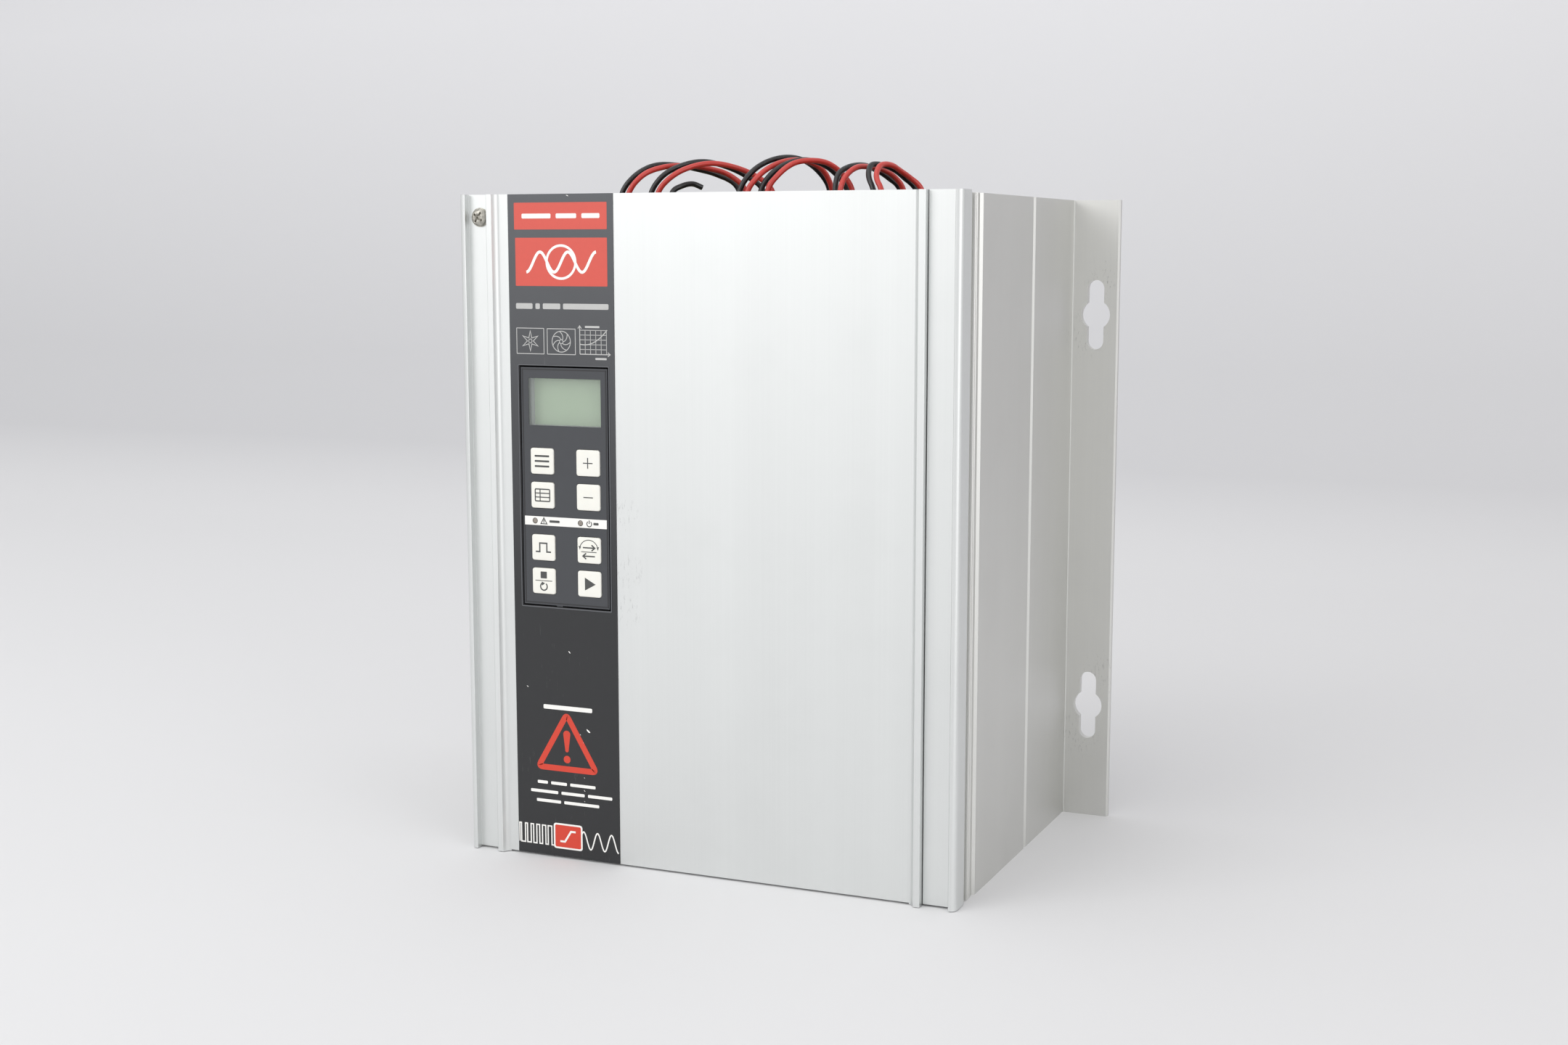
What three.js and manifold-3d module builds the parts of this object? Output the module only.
// Wall-mounted variable frequency drive in an extruded aluminium housing.
//
// Millimetres. X runs to the right, Y from the front door to the wall, Z up. The origin is the
// centre of the bottom of the housing. Two side profiles with mounting flanges carry a finned heat
// sink, the boards and the fans. A hinged door closes the front, and the door carries a control
// panel that pulls off forwards. Six pairs of leads arch over the top, from the control board to
// the power board.

import * as THREE from 'three';
import { mergeVertices } from 'three/addons/utils/BufferGeometryUtils.js';
import Module from 'manifold-3d';

const wasm = await Module();
wasm.setup();

// ---------------------------------------------------------------- driving dimensions

const HEIGHT = 300;
const BODY_WIDTH = 236;
const FLANGE_REACH = 22.5;
const DEPTH = 171.3;

const HALF = BODY_WIDTH / 2;
const FRONT = -DEPTH / 2;
const REAR = DEPTH / 2;

// The door is three full-height extrusions with the same stepped section.
const RIDGE_HEIGHT = 2.8;
const CHANNEL_DEPTH = 0.8;
const DOOR_SKIN = 1.6;
const DOOR_BOTTOM = 0.3;
const FLAT_BOTTOM = 0.9;
const DOOR_FACE = FRONT + RIDGE_HEIGHT;
const CHANNEL_FLOOR = DOOR_FACE + CHANNEL_DEPTH;
const DOOR_BACK = CHANNEL_FLOOR + DOOR_SKIN;
const RIB_WIDTH = 3.3;
const RETURN_SKIN = 1.4;
const RETURN_DEPTH = 11.1;
const RAIL_CORNER = 2.9;
const SEAM_GAP = 0.3;
const RIDGE_TOP = 2.9;
const RIDGE_FALL = 2.7;

// The seam between a rail and the centre panel, in from the outer edge of the door.
function seamAt(side) {
  return side < 0 ? 13.8 : 15.6;
}

// Door hinge: a round bead along the edge of the right rail, turning in a C-shaped socket.
const HINGE_X = HALF - 2.4;
const HINGE_Y = FRONT + 13.15;
const BEAD_RADIUS = 1.8;
const SOCKET_INNER = 2.05;
const SOCKET_OUTER = 3.1;

// Side profiles.
const WALL_TOP = HEIGHT - 1;
const WALL_SKIN = 3;
const WALL_INSET = 0.8;
const FLANGE_SKIN = 3.5;
const FLANGE_FACE = REAR - FLANGE_SKIN;
const EDGE_CHAMFER = 0.8;
const GROOVE_WIDTH = 3.9;
const FIRST_GROOVE = { y: -62.85, depth: 1.3, flank: 0.9 };
const SECOND_GROOVE = { y: 14.05, depth: 1.1, flank: 1.1 };
const LEDGE_DEPTH = 8;
const KEYHOLE_OUT = 11.5;
const KEYHOLE_HEIGHTS = [55, 245];
const KEYHOLE_RADIUS = 7;
const KEYHOLE_SLOT_WIDTH = 8;
const KEYHOLE_LENGTH = 33;

// Inside, between the two walls.
const INNER_HALF = HALF - WALL_SKIN - 0.5;
const SINK_FACE = 14;
const SINK_BASE = 8;
const SINK_REAR = 80;
const SINK_BOTTOM = 36;
const SINK_TOP = 292;
const FIN_COUNT = 15;
const FIN_SKIN = 2.2;
const FAN_SIZE = 60;
const FAN_HEIGHT = 25;
const FAN_BOTTOM = 8;
const FAN_RADIUS = 28.6;
const FAN_SPREAD = 55;
const BLADE_COUNT = 7;
const SHEET = 1.5;
const SHELF_TOP = 60;
const BRACKET_FACE = -48;
const CONTROL_BOARD_FACE = -54;
const BOARD_SKIN = 1.6;
const POWER_BOARD_FACE = -12;

// Control panel and its cradle, centred on one opening in the door.
const PANEL_X = -67.25;
const PANEL_Z = 170.55;
const OPENING = [45.3, 109];
const CRADLE_OUTER = [46.3, 110];
const CRADLE_INNER = [44.5, 108.2];
const CRADLE_FLOOR = DOOR_FACE + 14.4;
const CRADLE_BACK = DOOR_FACE + 16;
const LABEL_SKIN = 0.25;
const LABEL_X = [-94.1, -41.6];
const PANEL_SIZE = [43.5, 106.9];
const PANEL_FACE = DOOR_FACE + 0.15;
const PANEL_SKIN = 1.6;
const BEZEL_BACK = PANEL_FACE + 10.4;
const KEY_SIZE = 11.7;
const KEY_PROUD = 0.6;
const KEY_CLEARANCE = 0.2;
const KEY_COLUMNS = [-78.6, -55.4];
const KEY_ROWS = [182.2, 166.9, 143.2, 128];
const WINDOW_X = -67.05;
const WINDOW_Z = 208.65;
const WINDOW_SIZE = [36.3, 21.1];
const STRIP_Z = 155.2;
const STRIP_HEIGHT = 4;
const LAMP_COLUMNS = { alarm_lamp: -82.8, run_lamp: -59.7 };
const LAMP_RADIUS = 1.15;

const SCREW_X = -108.8;
const SCREW_Z = 290;
const SCREW_HEAD_RADIUS = 4;

const LEAD_RADIUS = 1.2;
const LEAD_SIDES = 8;
const LEAD_STEP = 7.2;
const FRONT_HEADER_TOP = 272;
const REAR_HEADER_TOP = 258;
const GAP = 0.3;

// ---------------------------------------------------------------- materials

function finish(color, roughness, metalness) {
  return new THREE.MeshStandardMaterial({ color, roughness, metalness });
}

const anodised = finish(0xd9dcdb, 0.42, 0.9);
const heatSinkAlloy = finish(0xb9bcbd, 0.5, 0.9);
const zincedSheet = finish(0xa9adb0, 0.45, 0.9);
const steel = finish(0x9a978f, 0.35, 1);
const copper = finish(0xa8613a, 0.4, 0.8);
const labelFilm = finish(0x444648, 0.5, 0);
const darkPlastic = finish(0x2b2c2e, 0.55, 0);
const panelPlastic = finish(0x55575b, 0.5, 0);
const keyPlastic = finish(0xe9e8e0, 0.55, 0);
const whitePrint = finish(0xf0f0ec, 0.6, 0);
const clearPane = finish(0xb9c9b8, 0.1, 0);
const displayGlass = finish(0xa3b89c, 0.3, 0);
const lampLens = finish(0x8c8078, 0.3, 0);
const rubber = finish(0x39393b, 0.8, 0);
const boardLaminate = finish(0x2e6b46, 0.5, 0);
const blackPlastic = finish(0x1d1e20, 0.5, 0);
const terminalPlastic = finish(0x3f7f5c, 0.55, 0);
const capacitorSleeve = finish(0x24385e, 0.35, 0);
const ribbonVinyl = finish(0x9b9da1, 0.6, 0);
const redLead = finish(0xc8403a, 0.5, 0);
const blackLead = finish(0x232326, 0.5, 0);

// ---------------------------------------------------------------- shapes and solids

const drive = new THREE.Group();

function add(name, geometry, material) {
  const mesh = new THREE.Mesh(geometry, material);
  mesh.name = name;
  drive.add(mesh);
  return mesh;
}

function outline(points) {
  return new THREE.Shape(points.map(([x, y]) => new THREE.Vector2(x, y)));
}

// A rectangle with rounded corners, given by its centre and its size.
function roundedRectangle([cx, cy], [width, height], radius) {
  const [x, y] = [width / 2 - radius, height / 2 - radius];
  const shape = new THREE.Shape();
  shape.absarc(cx + x, cy - y, radius, -Math.PI / 2, 0);
  shape.absarc(cx + x, cy + y, radius, 0, Math.PI / 2);
  shape.absarc(cx - x, cy + y, radius, Math.PI / 2, Math.PI);
  shape.absarc(cx - x, cy - y, radius, Math.PI, 1.5 * Math.PI);
  return shape;
}

// A shape drawn in X and Y, standing from one height to another.
function upright(shape, z0, z1, curveSegments = 4) {
  const options = { depth: z1 - z0, bevelEnabled: false, curveSegments };
  return new THREE.ExtrudeGeometry(shape, options).translate(0, 0, z0);
}

// A shape drawn in X and Z, running back from one Y to another.
function facing(shape, y0, y1, curveSegments = 4) {
  const options = { depth: y1 - y0, bevelEnabled: false, curveSegments };
  return new THREE.ExtrudeGeometry(shape, options).rotateX(Math.PI / 2).translate(0, y1, 0);
}

// A shape drawn in Y and Z, running across from one X to another.
function across(shape, x0, x1) {
  const options = { depth: x1 - x0, bevelEnabled: false };
  const turn = new THREE.Matrix4().makeBasis(
    new THREE.Vector3(0, 1, 0),
    new THREE.Vector3(0, 0, 1),
    new THREE.Vector3(1, 0, 0),
  );
  return new THREE.ExtrudeGeometry(shape, options).applyMatrix4(turn).translate(x0, 0, 0);
}

function box([x0, x1], [y0, y1], [z0, z1]) {
  const geometry = new THREE.BoxGeometry(x1 - x0, y1 - y0, z1 - z0);
  return geometry.translate((x0 + x1) / 2, (y0 + y1) / 2, (z0 + z1) / 2);
}

// The span of a length centred on a point.
function span(centre, length) {
  return [centre - length / 2, centre + length / 2];
}

function rodAlongY(radius, x, z, [y0, y1], sides = 20) {
  const geometry = new THREE.CylinderGeometry(radius, radius, y1 - y0, sides);
  return geometry.translate(x, (y0 + y1) / 2, z);
}

function rodAlongZ(radius, x, y, [z0, z1], sides = 20) {
  const geometry = new THREE.CylinderGeometry(radius, radius, z1 - z0, sides);
  return geometry.rotateX(Math.PI / 2).translate(x, y, (z0 + z1) / 2);
}

function solid(geometry) {
  const bare = geometry.clone();
  bare.deleteAttribute('normal');
  bare.deleteAttribute('uv');
  const merged = mergeVertices(bare, 1e-4);
  return new wasm.Manifold(new wasm.Mesh({
    numProp: 3,
    vertProperties: new Float32Array(merged.attributes.position.array),
    triVerts: new Uint32Array(merged.index.array),
  }));
}

function surfaceOf(body) {
  const mesh = body.getMesh();
  const geometry = new THREE.BufferGeometry();
  geometry.setAttribute('position', new THREE.BufferAttribute(mesh.vertProperties, 3));
  geometry.setIndex(new THREE.BufferAttribute(mesh.triVerts, 1));
  geometry.computeVertexNormals();
  return geometry;
}

function weld(...pieces) {
  return surfaceOf(pieces.map(solid).reduce((whole, piece) => whole.add(piece)));
}

function carve(stock, ...tools) {
  return surfaceOf(tools.reduce((whole, tool) => whole.subtract(solid(tool)), solid(stock)));
}

// ---------------------------------------------------------------- side profiles

// Points are [inset from the outer wall face, y]; side is -1 on the left and 1 on the right.
function sideShape(side, points) {
  return outline(points.map(([inset, y]) => [side * (HALF - inset), y]));
}

// The inset front strip of the wall, with two fine ridges along it.
function frontStrip(frontEnd) {
  const ridges = [-67.3, -65.3].flatMap((y) => [
    [WALL_INSET, y],
    [WALL_INSET - 0.3, y + 0.2],
    [WALL_INSET - 0.3, y + 0.4],
    [WALL_INSET, y + 0.6],
  ]);
  return [[WALL_INSET, frontEnd], ...ridges];
}

// A groove has a square front wall, a flat floor and a sloping rear flank.
function groove({ y, depth, flank }, frontInset) {
  return [
    [frontInset, y],
    [depth, y],
    [depth, y + GROOVE_WIDTH - flank],
    [0, y + GROOVE_WIDTH],
  ];
}

function wallOuterFace() {
  return [
    ...groove(FIRST_GROOVE, WALL_INSET),
    ...groove(SECOND_GROOVE, 0),
    [0, FLANGE_FACE - 0.8],
    [-0.25, FLANGE_FACE - 0.25],
    [-0.8, FLANGE_FACE],
  ];
}

function flangeSection() {
  return [
    [EDGE_CHAMFER - FLANGE_REACH, FLANGE_FACE],
    [-FLANGE_REACH, FLANGE_FACE + EDGE_CHAMFER],
    [-FLANGE_REACH, REAR - EDGE_CHAMFER],
    [EDGE_CHAMFER - FLANGE_REACH, REAR],
    [WALL_SKIN, REAR],
  ];
}

// The ledge that the heat sink is screwed to.
function ledgeSection() {
  return [
    [WALL_SKIN, SINK_FACE - GAP],
    [WALL_SKIN + LEDGE_DEPTH, SINK_FACE - GAP],
    [WALL_SKIN + LEDGE_DEPTH, SINK_FACE - 4],
    [WALL_SKIN, SINK_FACE - 4],
  ];
}

function keyholes(side) {
  const x = side * (HALF + KEYHOLE_OUT);
  const through = [FLANGE_FACE - 2, REAR + 2];
  return KEYHOLE_HEIGHTS.flatMap((z) => {
    const slot = roundedRectangle([x, z], [KEYHOLE_SLOT_WIDTH, KEYHOLE_LENGTH], 3.99);
    return [rodAlongY(KEYHOLE_RADIUS, x, z, through, 24), facing(slot, ...through)];
  });
}

function rightSideProfile() {
  const frontEnd = HINGE_Y + 3.6;
  const section = sideShape(1, [
    ...frontStrip(frontEnd),
    ...wallOuterFace(),
    ...flangeSection(),
    ...ledgeSection(),
    [WALL_SKIN, frontEnd],
  ]);
  const [from, to] = [THREE.MathUtils.degToRad(80), THREE.MathUtils.degToRad(280)];
  const socket = new THREE.Shape();
  socket.absarc(HINGE_X, HINGE_Y, SOCKET_OUTER, from, to);
  socket.absarc(HINGE_X, HINGE_Y, SOCKET_INNER, to, from, true);
  const neck = box([HINGE_X - 2, HINGE_X + 0.5], [HINGE_Y + 2.2, HINGE_Y + 4], [0, WALL_TOP]);
  const profile = weld(upright(section, 0, WALL_TOP), neck, upright(socket, 0, WALL_TOP, 10));
  return carve(profile, ...keyholes(1));
}

// The left profile ends in a tongue and a lip behind the door, which take the door screw.
function leftSideProfile() {
  const frontEnd = FRONT + RETURN_DEPTH + 0.6;
  const lipFace = DOOR_BACK + 0.45;
  const lipBack = lipFace + SHEET;
  const section = sideShape(-1, [
    ...frontStrip(frontEnd),
    ...wallOuterFace(),
    ...flangeSection(),
    ...ledgeSection(),
    [WALL_SKIN + 0.6, lipBack],
    [15, lipBack],
    [15, lipFace],
    [RETURN_SKIN + 0.6, lipFace],
    [RETURN_SKIN + 0.6, frontEnd],
  ]);
  const screwHole = rodAlongY(2.5, SCREW_X, SCREW_Z, [lipFace - 1, lipBack + 1], 10);
  return carve(upright(section, 0, WALL_TOP), screwHole, ...keyholes(-1));
}

add('side_profile_left', leftSideProfile(), anodised);
add('side_profile_right', rightSideProfile(), anodised);

// ---------------------------------------------------------------- heat sink and fans

function heatSink() {
  const width = [-INNER_HALF, INNER_HALF];
  const baseRear = SINK_FACE + SINK_BASE;
  const pitch = (2 * INNER_HALF - FIN_SKIN) / (FIN_COUNT - 1);
  const comb = [[INNER_HALF, SINK_FACE], [-INNER_HALF, SINK_FACE]];
  for (let i = 0; i < FIN_COUNT; i += 1) {
    const x = -INNER_HALF + i * pitch;
    comb.push([x, baseRear], [x, SINK_REAR], [x + FIN_SKIN, SINK_REAR], [x + FIN_SKIN, baseRear]);
  }
  const points = comb.filter(([x, y]) => y !== baseRear || Math.abs(Math.abs(x) - INNER_HALF) > 0.1);
  const fins = upright(outline(points), SINK_BOTTOM, SINK_TOP);
  return weld(fins, box(width, [SINK_FACE, baseRear], [SHEET * 2, SINK_BOTTOM + 1]));
}

add('heat_sink', heatSink(), heatSinkAlloy);

const FAN_Y = SINK_FACE + SINK_BASE + GAP + FAN_SIZE / 2;
const FAN_TOP = FAN_BOTTOM + FAN_HEIGHT;

function fanFrame(x) {
  const body = box(span(x, FAN_SIZE), span(FAN_Y, FAN_SIZE), [FAN_BOTTOM, FAN_TOP]);
  const bore = rodAlongZ(FAN_RADIUS, x, FAN_Y, [FAN_BOTTOM - 1, FAN_TOP + 1], 24);
  const shell = carve(body, bore);
  const hub = rodAlongZ(12.5, x, FAN_Y, [FAN_TOP - 3, FAN_TOP], 16);
  const spokes = [0, 1].map((turn) => {
    const [wide, narrow] = [2 * FAN_RADIUS + 1, 3];
    const along = span(x, turn ? narrow : wide);
    const over = span(FAN_Y, turn ? wide : narrow);
    return box(along, over, [FAN_TOP - 2, FAN_TOP]);
  });
  return weld(shell, hub, ...spokes);
}

function fanRotor(x) {
  const middle = FAN_BOTTOM + FAN_HEIGHT / 2;
  const hub = rodAlongZ(12, x, FAN_Y, [FAN_BOTTOM + 1, FAN_TOP - 3.5], 18);
  const blades = [];
  for (let i = 0; i < BLADE_COUNT; i += 1) {
    const blade = new THREE.BoxGeometry(15.8, 20, 1.4);
    blade.rotateX(THREE.MathUtils.degToRad(40));
    blade.translate(11 + 7.9, 0, 0);
    blade.rotateZ((i * 2 * Math.PI) / BLADE_COUNT);
    blade.translate(x, FAN_Y, middle - 1);
    blades.push(blade);
  }
  return weld(hub, ...blades);
}

for (const [name, side] of [['left', -1], ['right', 1]]) {
  add(`fan_frame_${name}`, fanFrame(side * FAN_SPREAD), blackPlastic);
  add(`fan_rotor_${name}`, fanRotor(side * FAN_SPREAD), blackPlastic);
}

// The sheet under the fans, with an opening under each.
function fanBracket() {
  const sheet = box([-INNER_HALF, INNER_HALF], [SINK_FACE + SINK_BASE + GAP, 83], [6, FAN_BOTTOM]);
  const openings = [-1, 1].map((side) => rodAlongZ(FAN_RADIUS, side * FAN_SPREAD, FAN_Y, [5, 9], 24));
  return carve(sheet, ...openings);
}

add('fan_bracket', fanBracket(), zincedSheet);

// ---------------------------------------------------------------- sheet metal

const GLAND_HOLES = [[-78, 14.2], [-28, 14.2], [22, 14.2], [72, 11.4]];
const GLAND_Y = -34;
const GLAND_PLATE_FRONT = -77;

function glandPlate() {
  const rear = SINK_FACE - 4.3;
  const section = outline([
    [GLAND_PLATE_FRONT, 2],
    [rear, 2],
    [rear, 2 + SHEET],
    [GLAND_PLATE_FRONT + SHEET, 2 + SHEET],
    [GLAND_PLATE_FRONT + SHEET, 16],
    [GLAND_PLATE_FRONT, 16],
  ]);
  const holes = GLAND_HOLES.map(([x, radius]) => rodAlongZ(radius, x, GLAND_Y, [1, 5], 20));
  const half = INNER_HALF - 3;
  return carve(across(section, -half, half), ...holes);
}

add('gland_plate', glandPlate(), zincedSheet);

// The finger guard over the air outlet, with a row of slots along it.
function topGuard() {
  const half = INNER_HALF - LEDGE_DEPTH - GAP;
  const sheet = box([-half, half], [-7, 82], [294.5, 294.5 + SHEET]);
  const slots = [];
  for (let i = 0; i < 14; i += 1) {
    const x = -97.5 + i * 15;
    slots.push(box(span(x, 8), [27, 76], [294, 297]));
  }
  const brow = box([-half, half], [-7, -5.5], [286, 295]);
  return weld(carve(sheet, ...slots), brow);
}

add('top_guard', topGuard(), zincedSheet);

const STANDOFFS = [[-92, 70], [92, 70], [-92, 250], [92, 250]];

// One bent sheet: the upright carries the control board, the shelf the capacitors and the choke.
function boardBracket() {
  const section = outline([
    [BRACKET_FACE, SHELF_TOP - 2],
    [SINK_FACE - 4.3, SHELF_TOP - 2],
    [SINK_FACE - 4.3, SHELF_TOP],
    [BRACKET_FACE + SHEET, SHELF_TOP],
    [BRACKET_FACE + SHEET, 285],
    [BRACKET_FACE, 285],
  ]);
  const posts = STANDOFFS.map(([x, z]) => {
    return rodAlongY(3, x, z, [CONTROL_BOARD_FACE + BOARD_SKIN, BRACKET_FACE + 0.5], 8);
  });
  return weld(across(section, -INNER_HALF, INNER_HALF), ...posts);
}

add('board_bracket', boardBracket(), zincedSheet);

// ---------------------------------------------------------------- power parts

// The module stands on the heat sink, and two rows of pins reach forward to the power board.
function powerModule() {
  const rear = POWER_BOARD_FACE + BOARD_SKIN;
  const body = box([-40, 90], [-3, SINK_FACE], [180, 250]);
  const pinRows = [188, 242].map((z) => box([-34, 84], [rear, -2.5], span(z, 4)));
  return weld(body, ...pinRows);
}

add('power_module', powerModule(), blackPlastic);
add(
  'power_board',
  box([-108, 108], [POWER_BOARD_FACE, POWER_BOARD_FACE + BOARD_SKIN], [165, 284]),
  boardLaminate,
);

const CAPACITOR_RADIUS = 25;
const CAPACITOR_Y = -16;
const CAPACITOR_TOP = 155;

// A can with a rolled groove under its rim, a recessed lid and two screw posts.
function capacitor(x) {
  const height = CAPACITOR_TOP - SHELF_TOP;
  const profile = [
    [0, 0], [25, 0], [25, height - 9], [24, height - 8], [25, height - 7],
    [25, height], [23, height], [23, height - 2], [0, height - 2],
  ];
  const can = new THREE.LatheGeometry(profile.map(([r, z]) => new THREE.Vector2(r, z)), 18);
  can.rotateX(Math.PI / 2).translate(x, CAPACITOR_Y, SHELF_TOP);
  const posts = [-8, 8].map((shift) => {
    return rodAlongZ(4, x + shift, CAPACITOR_Y, [CAPACITOR_TOP - 4, CAPACITOR_TOP + 4], 8);
  });
  return weld(can, ...posts);
}

[-84, -30, 24].forEach((x, i) => add(`dc_capacitor_${i + 1}`, capacitor(x), capacitorSleeve));

// Laminated core with two windows, and the winding round its middle leg.
const CHOKE_X = 85;
const CHOKE_Z = [SHELF_TOP, SHELF_TOP + 68];
const CHOKE_Y = [-34, -4];
const WINDOW_HEIGHT = [SHELF_TOP + 12, SHELF_TOP + 56];

function chokeCore() {
  const stock = box(span(CHOKE_X, 50), CHOKE_Y, CHOKE_Z);
  const windows = [-12, 12].map((shift) => box(span(CHOKE_X + shift, 8), [-36, -2], WINDOW_HEIGHT));
  return carve(stock, ...windows);
}

function chokeWinding() {
  const height = [WINDOW_HEIGHT[0] + 1, WINDOW_HEIGHT[1] - 1];
  const outer = roundedRectangle([CHOKE_X, -19], [31.2, 44], 7);
  const leg = box(span(CHOKE_X, 16.6), [CHOKE_Y[0] - GAP, CHOKE_Y[1] + GAP], [60, 130]);
  return carve(upright(outer, ...height), leg);
}

add('choke_core', chokeCore(), steel);
add('choke_winding', chokeWinding(), copper);

// ---------------------------------------------------------------- boards, headers, terminals

function controlBoard() {
  const rear = CONTROL_BOARD_FACE + BOARD_SKIN;
  return box([-100, 100], [CONTROL_BOARD_FACE, rear], [62, 274]);
}

add('control_board', controlBoard(), boardLaminate);

// A header block with a latch slot in its front for each pair of leads.
function header([x0, x1], [y0, y1], top, height, slots) {
  const stock = box([x0, x1], [y0, y1], [top - height, top]);
  const cuts = slots.map((x) => box(span(x, 5), [y0 - 1, y0 + 1.2], [top - height + 2, top - 3]));
  return carve(stock, ...cuts);
}

add(
  'gate_header_front',
  header([-56, 80], [-65, CONTROL_BOARD_FACE], FRONT_HEADER_TOP, 10, [-48, -33, 10, 20, 54, 71]),
  whitePrint,
);
add(
  'gate_header_rear',
  header([-18, 86], [-33, POWER_BOARD_FACE], REAR_HEADER_TOP, 8, [-11, 7, 34, 46, 67, 78]),
  whitePrint,
);

// A row of screw terminals: a screw well in the front and a wire entry below each.
function terminalRow({ x, y, z, poles, well, entry }) {
  const pitch = (x[1] - x[0]) / poles;
  const tools = [];
  for (let i = 0; i < poles; i += 1) {
    const middle = x[0] + (i + 0.5) * pitch;
    const height = z[0] + (z[1] - z[0]) * 0.6;
    tools.push(rodAlongY(well, middle, height, [y[0] - 1, y[0] + 5], 8));
    tools.push(box(span(middle, entry), span((y[0] + y[1]) / 2, entry), [z[0] - 1, z[0] + 7]));
  }
  return carve(box(x, y, z), ...tools);
}

const powerTerminals = { x: [-76, 74], y: [-40, -12], z: [30, 58], poles: 10, well: 4.5, entry: 9 };
const controlTerminals = { x: [-88, 62], y: [-66, -54], z: [62.5, 76], poles: 10, well: 2, entry: 3.6 };
add('power_terminals', terminalRow(powerTerminals), blackPlastic);
add('control_terminals', terminalRow(controlTerminals), terminalPlastic);

// Flat ribbon from the panel socket, along the door to the hinge side and back to the board.
function doorRibbon() {
  const route = [
    [-53.5, -63.8], [-44, -63.8], [-36, -68], [-30, -74.5], [-20, -78.2], [10, -78.8], [60, -78.8],
    [88, -78.6], [98, -76], [102, -69], [98, -62], [90, -59.6], [82, -59.5],
  ];
  const curve = new THREE.CatmullRomCurve3(
    route.map(([x, y]) => new THREE.Vector3(x, y, 183)),
    false,
    'centripetal',
  );
  const section = outline([[-10, -0.4], [10, -0.4], [10, 0.4], [-10, 0.4]]);
  return new THREE.ExtrudeGeometry(section, { extrudePath: curve, steps: 36, bevelEnabled: false });
}

add('door_ribbon', doorRibbon(), ribbonVinyl);

// ---------------------------------------------------------------- door

// Points are [distance in from the outer edge of the door, y].
function doorRail(side) {
  const steps = 6;
  const roundCorner = Array.from({ length: steps + 1 }, (_, i) => {
    const turn = (Math.PI / 2) * (i / steps);
    return [RAIL_CORNER * (1 - Math.cos(turn)), FRONT + RAIL_CORNER * (1 - Math.sin(turn))];
  });
  const railPoints = [
    [0, FRONT + RETURN_DEPTH],
    ...roundCorner,
    [RIB_WIDTH - 0.3, FRONT],
    [RIB_WIDTH, FRONT + 0.3],
    [RIB_WIDTH, CHANNEL_FLOOR],
    [seamAt(side), CHANNEL_FLOOR],
    [seamAt(side), DOOR_BACK],
    [RETURN_SKIN, DOOR_BACK],
    [RETURN_SKIN, FRONT + RETURN_DEPTH],
  ];
  const rail = upright(sideShape(side, railPoints), DOOR_BOTTOM, HEIGHT);
  const floorSpan = [side * (HALF - RIB_WIDTH), side * (HALF - seamAt(side) - 1)].sort((a, b) => a - b);
  const floorEnd = box(floorSpan, [CHANNEL_FLOOR - 5, DOOR_BACK + 1], [-1, FLAT_BOTTOM]);
  if (side < 0) {
    const screwHole = rodAlongY(2.2, SCREW_X, SCREW_Z, [CHANNEL_FLOOR - 1, DOOR_BACK + 1], 10);
    return carve(rail, floorEnd, screwHole);
  }
  const neck = outline([
    [HALF - RETURN_SKIN, HINGE_Y - 2.6],
    [HALF - 0.4, HINGE_Y - 2.6],
    [HALF - 0.9, HINGE_Y - 0.6],
    [HALF - 1.9, HINGE_Y - 0.8],
  ]);
  const bead = rodAlongZ(BEAD_RADIUS, HINGE_X, HINGE_Y, [DOOR_BOTTOM, WALL_TOP], 14);
  return weld(carve(rail, floorEnd), upright(neck, DOOR_BOTTOM, WALL_TOP), bead);
}

add('door_rail_left', doorRail(-1), anodised);
add('door_rail_right', doorRail(1), anodised);

// One edge of the centre panel: the ridge beside the seam, and its curved fall to the flat.
function panelEdge(side) {
  const edge = seamAt(side) + SEAM_GAP;
  const topEnd = edge + RIDGE_TOP;
  const fall = [0.2, 0.4, 0.7, 1].map((t) => {
    return [topEnd + t * RIDGE_FALL, FRONT + RIDGE_HEIGHT * t * (2 - t)];
  });
  const points = [[edge, DOOR_BACK], [edge, FRONT + 0.3], [edge + 0.3, FRONT], [topEnd, FRONT], ...fall];
  return points.map(([inset, y]) => [side * (HALF - inset), y]);
}

function doorPanel() {
  const section = outline([...panelEdge(-1), ...panelEdge(1).reverse()]);
  const size = [CRADLE_OUTER[0] + 0.6, CRADLE_OUTER[1] + 0.6];
  const opening = box(span(PANEL_X, size[0]), [DOOR_FACE - 1, DOOR_BACK + 1], span(PANEL_Z, size[1]));
  const flatEdge = (side) => side * (HALF - seamAt(side) - SEAM_GAP - RIDGE_TOP - RIDGE_FALL);
  const flatEnd = box([flatEdge(-1), flatEdge(1)], [DOOR_FACE - 1, DOOR_BACK + 1], [-1, FLAT_BOTTOM]);
  return carve(upright(section, DOOR_BOTTOM, HEIGHT), opening, flatEnd);
}

add('door_panel', doorPanel(), anodised);

function doorLabel() {
  const film = box(LABEL_X, [DOOR_FACE - LABEL_SKIN, DOOR_FACE], [FLAT_BOTTOM, HEIGHT]);
  const opening = box(span(PANEL_X, OPENING[0]), [DOOR_FACE - 1, DOOR_FACE + 1], span(PANEL_Z, OPENING[1]));
  return carve(film, opening);
}

add('door_label', doorLabel(), labelFilm);

const PLUG_X = [-77, -57];
const PLUG_Z = [179, 187];

function wider([low, high], by) {
  return [low - by, high + by];
}

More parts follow.
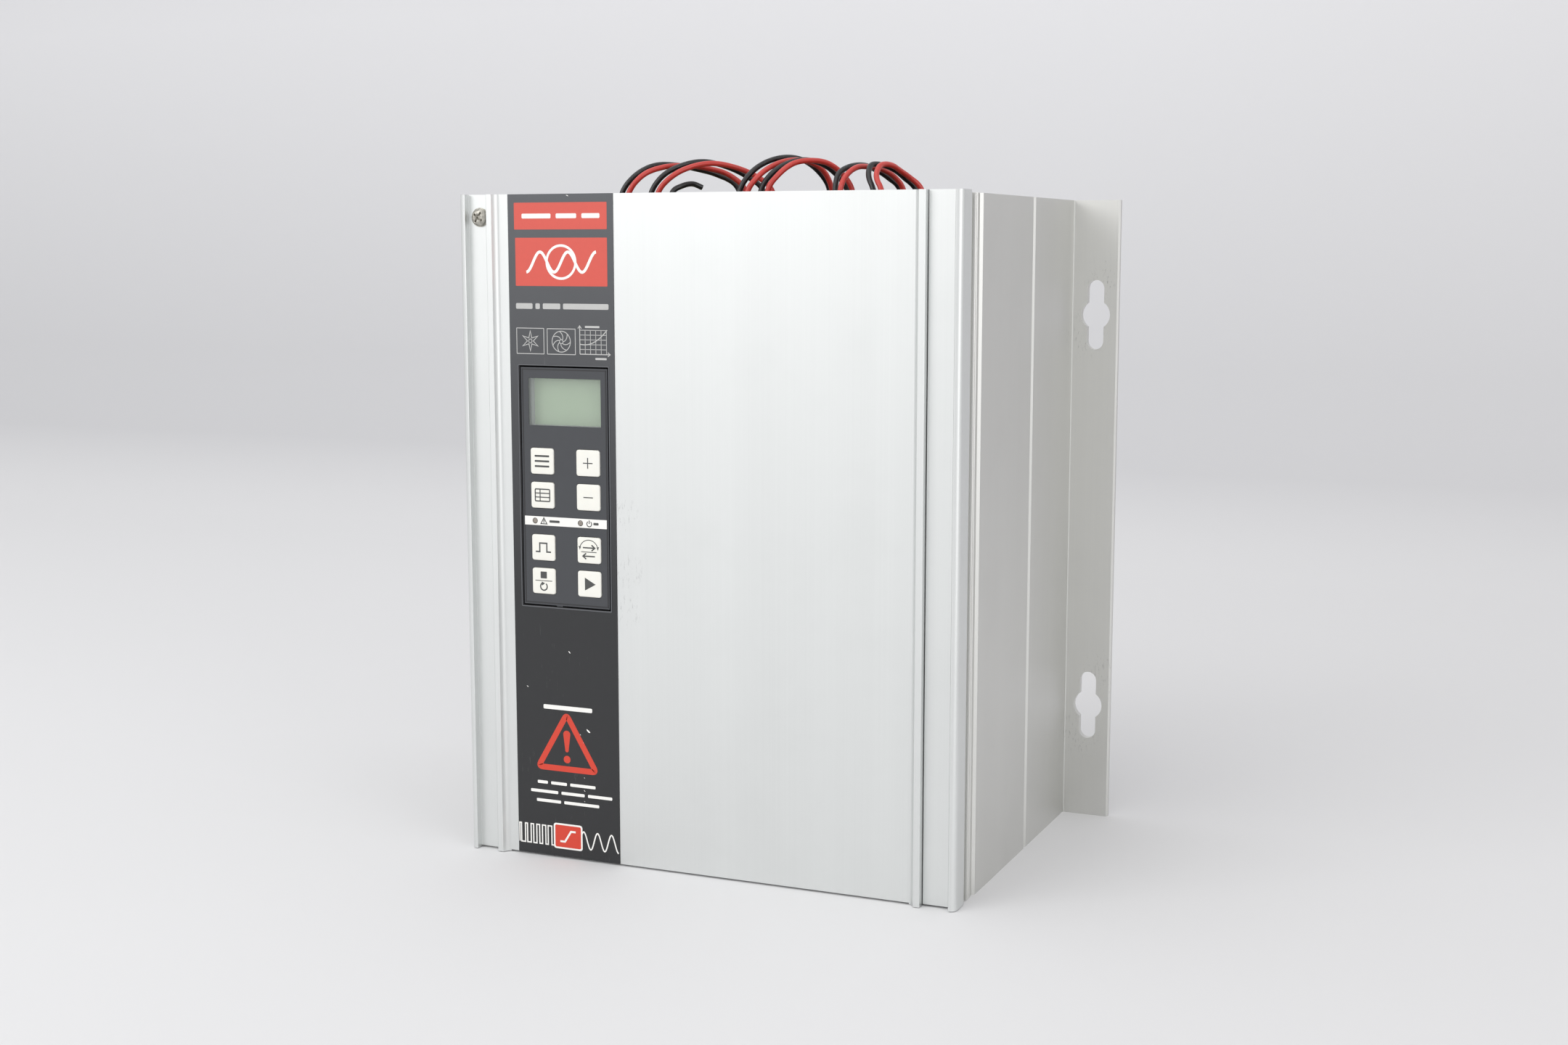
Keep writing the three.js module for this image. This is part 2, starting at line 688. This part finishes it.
function panelCradle() {
  const [outer, inner] = [CRADLE_OUTER, CRADLE_INNER];
  const stock = box(span(PANEL_X, outer[0]), [DOOR_FACE, CRADLE_BACK], span(PANEL_Z, outer[1]));
  const pocket = box(span(PANEL_X, inner[0]), [DOOR_FACE - 1, CRADLE_FLOOR], span(PANEL_Z, inner[1]));
  const plugWay = box(wider(PLUG_X, 1), [CRADLE_FLOOR - 1, CRADLE_BACK + 1], wider(PLUG_Z, 1));
  return carve(stock, pocket, plugWay);
}

function cradleSocket() {
  const stock = box(wider(PLUG_X, 3), [CRADLE_BACK, CRADLE_BACK + 6], wider(PLUG_Z, 3));
  const well = box(wider(PLUG_X, 0.4), [CRADLE_BACK - 1, CRADLE_BACK + 3.5], wider(PLUG_Z, 0.4));
  return carve(stock, well);
}

add('panel_cradle', panelCradle(), darkPlastic);
add('cradle_socket', cradleSocket(), blackPlastic);

// Pan-head screw with a cross recess, held captive in the left rail.
function doorScrew() {
  const height = 2.7;
  const profile = [
    [0, 0], [SCREW_HEAD_RADIUS, 0], [SCREW_HEAD_RADIUS, 0.9], [3.7, 1.6], [3, 2.2], [2, 2.55], [0, height],
  ];
  const head = new THREE.LatheGeometry(profile.map(([r, h]) => new THREE.Vector2(r, h)), 16);
  head.rotateX(Math.PI).translate(SCREW_X, CHANNEL_FLOOR, SCREW_Z);
  const shank = rodAlongY(2, SCREW_X, SCREW_Z, [CHANNEL_FLOOR - 0.5, CHANNEL_FLOOR + 6], 10);
  const depth = [CHANNEL_FLOOR - height - 1, CHANNEL_FLOOR - 1];
  const arms = [[4.4, 0.9], [0.9, 4.4]].map(([wide, tall]) => {
    const arm = box(span(0, wide), depth, span(0, tall));
    return arm.rotateY(0.6).translate(SCREW_X, 0, SCREW_Z);
  });
  return carve(weld(head, shank), ...arms);
}

add('door_screw', doorScrew(), steel);

// ---------------------------------------------------------------- control panel

function keyCentres() {
  return KEY_ROWS.flatMap((z) => KEY_COLUMNS.map((x) => [x, z]));
}

// The fine groove that frames the face, just inside its edge.
function faceGroove() {
  const depth = [PANEL_FACE - 1, PANEL_FACE + 0.35];
  const [halfX, halfZ] = [PANEL_SIZE[0] / 2 - 0.7, PANEL_SIZE[1] / 2 - 0.9];
  const width = 0.35;
  const rails = [-1, 1].flatMap((side) => [
    box(span(PANEL_X + side * halfX, width), depth, span(PANEL_Z, 2 * halfZ + width)),
    box(span(PANEL_X, 2 * halfX + width), depth, span(PANEL_Z + side * halfZ, width)),
  ]);
  return rails;
}

function panelBezel() {
  const [width, height] = PANEL_SIZE;
  const stock = box(span(PANEL_X, width), [PANEL_FACE, BEZEL_BACK], span(PANEL_Z, height));
  const inner = PANEL_FACE + PANEL_SKIN;
  const cavity = box(span(PANEL_X, width - 2.8), [inner, BEZEL_BACK + 1], span(PANEL_Z, height - 2.8));
  const through = [PANEL_FACE - 1, inner + 1];
  const keyWidth = KEY_SIZE + 2 * KEY_CLEARANCE;
  const keyOpenings = keyCentres().map((centre) => {
    return facing(roundedRectangle(centre, [keyWidth, keyWidth], 1.4), ...through, 2);
  });
  const window = box(span(WINDOW_X, WINDOW_SIZE[0]), through, span(WINDOW_Z, WINDOW_SIZE[1]));
  const lampHoles = Object.values(LAMP_COLUMNS).map((x) => {
    return rodAlongY(LAMP_RADIUS + 0.2, x, STRIP_Z, through, 12);
  });
  const shell = carve(stock, cavity, ...keyOpenings, window, ...lampHoles, ...faceGroove());
  const bottom = PANEL_Z - height / 2;
  const pullTab = box(span(PANEL_X - 3.6, 3), [PANEL_FACE, PANEL_FACE + 2], [bottom - 0.4, bottom + 0.1]);
  return weld(shell, pullTab);
}

add('panel_bezel', panelBezel(), panelPlastic);

function panelBackCover() {
  const plate = box(
    span(PANEL_X, PANEL_SIZE[0]),
    [BEZEL_BACK + GAP, BEZEL_BACK + 3],
    span(PANEL_Z, PANEL_SIZE[1]),
  );
  const plug = box(PLUG_X, [BEZEL_BACK + 2.9, CRADLE_BACK + 3], PLUG_Z);
  return weld(plate, plug);
}

add('panel_back_cover', panelBackCover(), panelPlastic);

function keyCap([x, z]) {
  const front = PANEL_FACE - KEY_PROUD;
  const cap = facing(roundedRectangle([x, z], [KEY_SIZE, KEY_SIZE], 1.2), front, front + 3.4, 2);
  const skirtFace = PANEL_FACE + PANEL_SKIN + 0.15;
  const skirt = box(span(x, KEY_SIZE + 1.6), [skirtFace, skirtFace + 1], span(z, KEY_SIZE + 1.6));
  return weld(cap, skirt);
}

const KEY_NAMES = [
  'key_menu', 'key_plus', 'key_data', 'key_minus', 'key_jog', 'key_reverse', 'key_stop', 'key_start',
];
keyCentres().forEach((centre, i) => add(KEY_NAMES[i], keyCap(centre), keyPlastic));

const MAT_FACE = PANEL_FACE + 4.2;
add(
  'key_mat',
  box(span(PANEL_X, 40), [MAT_FACE, MAT_FACE + 2], [119.5, 192]),
  rubber,
);
add(
  'display_module',
  box(span(WINDOW_X, 38.5), [PANEL_FACE + 2.6, PANEL_FACE + 7], span(WINDOW_Z, 24)),
  displayGlass,
);
add(
  'display_window',
  box(
    span(WINDOW_X, WINDOW_SIZE[0] - 0.1),
    [PANEL_FACE + 0.1, PANEL_FACE + 1.3],
    span(WINDOW_Z, WINDOW_SIZE[1] - 0.1),
  ),
  clearPane,
);

function indicatorStrip() {
  const depth = [PANEL_FACE - 0.2, PANEL_FACE];
  const strip = box(span(PANEL_X, PANEL_SIZE[0] - 1.9), depth, span(STRIP_Z, STRIP_HEIGHT));
  const holes = Object.values(LAMP_COLUMNS).map((x) => {
    return rodAlongY(LAMP_RADIUS + 0.2, x, STRIP_Z, wider(depth, 1), 12);
  });
  return carve(strip, ...holes);
}

add('indicator_strip', indicatorStrip(), whitePrint);
for (const [name, x] of Object.entries(LAMP_COLUMNS)) {
  add(name, rodAlongY(LAMP_RADIUS, x, STRIP_Z, [PANEL_FACE - 0.35, PANEL_FACE + 3], 16), lampLens);
}

// ---------------------------------------------------------------- leads over the top

// Each route rises from the front header, arches over the top and falls to the rear header.
const LEADS = {
  lead_1_black: [
    [-51, -57, 290], [-50.5, -57, 301], [-45.5, -54, 308.5], [-40, -46.5, 313], [-34, -36.5, 313.5],
    [-28.5, -26.5, 312], [-21.5, -19, 309.5], [-13.5, -16, 304.5], [-10, -16, 290],
  ],
  lead_1_red: [
    [-46, -61, 290], [-45, -61, 301], [-39.5, -58, 308.5], [-33.5, -50.5, 312], [-27.5, -40.5, 313],
    [-21, -30.5, 312], [-14.5, -23, 309.5], [-7.5, -20, 303], [-6, -20, 290],
  ],
  lead_2_black: [
    [-37, -58, 290], [-35.5, -58, 301], [-30.5, -55.5, 308.5], [-23.5, -49.5, 313], [-17, -42, 314.5],
    [-10, -34.5, 312.5], [-3, -28.5, 308.5], [4, -26, 302.5], [6, -26, 290],
  ],
  lead_2_red: [
    [-31.5, -62, 290], [-30, -62, 301], [-24, -59.5, 308], [-17.5, -53.5, 312], [-11, -46, 313.5],
    [-4, -38.5, 312], [3, -32.5, 308.5], [10, -30, 302.5], [12, -30, 290],
  ],
  lead_3_black: [
    [6, -57, 290], [7, -57, 301.5], [10.5, -54, 308.5], [14.5, -46.5, 313.5], [19.5, -36.5, 316],
    [24, -26.5, 315], [28.5, -19, 310], [32, -16, 303], [32, -16, 290],
  ],
  lead_3_red: [
    [11.5, -61, 290], [12.5, -61, 301], [16.5, -58, 307.5], [20, -50.5, 312], [24, -40.5, 314.5],
    [28.5, -30.5, 314], [32.5, -23, 310], [35, -20, 302.5], [36, -20, 290],
  ],
  lead_4_black: [
    [17, -58, 290], [17.5, -58, 301.5], [21, -55.5, 308], [25.5, -49.5, 312.5], [30.5, -42, 314.5],
    [36, -34.5, 313], [40.5, -28.5, 308.5], [44.5, -26, 302], [45, -26, 290],
  ],
  lead_4_red: [
    [22, -62, 290], [22.5, -62, 301.5], [26, -59.5, 307.5], [30.5, -53.5, 312.5], [35.5, -46, 314],
    [40.5, -38.5, 313], [45, -32.5, 308.5], [48.5, -30, 302], [49, -30, 290],
  ],
  lead_5_black: [
    [52, -57, 290], [51.5, -57, 301.5], [51.5, -54, 307.5], [53.5, -46.5, 311], [56.5, -36.5, 312],
    [59, -26.5, 310], [61.5, -19, 307], [65.5, -16, 302.5], [66, -16, 290],
  ],
  lead_5_red: [
    [56, -61, 290], [55.5, -61, 301.5], [56.5, -58, 306.5], [58.5, -50.5, 310.5], [61, -40.5, 311],
    [63.5, -30.5, 310], [66, -23, 307], [68.5, -20, 302.5], [70, -20, 290],
  ],
  lead_6_black: [
    [71, -58, 290], [69, -58, 301], [66, -55.5, 306.5], [65, -49.5, 311.5], [68, -42, 311.5],
    [70.5, -34.5, 309.5], [73, -28.5, 306], [76.5, -26, 302], [77, -26, 290],
  ],
  lead_6_red: [
    [76, -62, 290], [74, -62, 301], [71, -59.5, 306], [70.5, -53.5, 311], [72.5, -46, 311.5],
    [74.5, -38.5, 309], [77, -32.5, 306], [80.5, -30, 302], [82, -30, 290],
  ],
};

// A spare lead that ends in a bare cut end above the top.
const SPARE_LEAD = [
  [-26, -60, 290], [-24, -60, 301], [-21, -57, 303.5], [-18.5, -51, 304.5], [-15.5, -48, 303],
];

function lead(route) {
  const curve = new THREE.CatmullRomCurve3(
    route.map(([x, y, z]) => new THREE.Vector3(x, y, z)),
    false,
    'centripetal',
  );
  const section = new THREE.Shape().absarc(0, 0, LEAD_RADIUS, 0, 2 * Math.PI);
  const steps = Math.round(curve.getLength() / LEAD_STEP);
  const options = { extrudePath: curve, steps, bevelEnabled: false, curveSegments: LEAD_SIDES / 2 };
  return new THREE.ExtrudeGeometry(section, options);
}

for (const [name, arch] of Object.entries(LEADS)) {
  const [first, last] = [arch[0], arch[arch.length - 1]];
  const start = [first[0], first[1], FRONT_HEADER_TOP + GAP];
  const end = [last[0], last[1], REAR_HEADER_TOP + GAP];
  add(name, lead([start, ...arch, end]), name.endsWith('red') ? redLead : blackLead);
}
add('spare_lead', lead([[-26, -60, FRONT_HEADER_TOP + GAP], ...SPARE_LEAD]), blackLead);

export default drive;
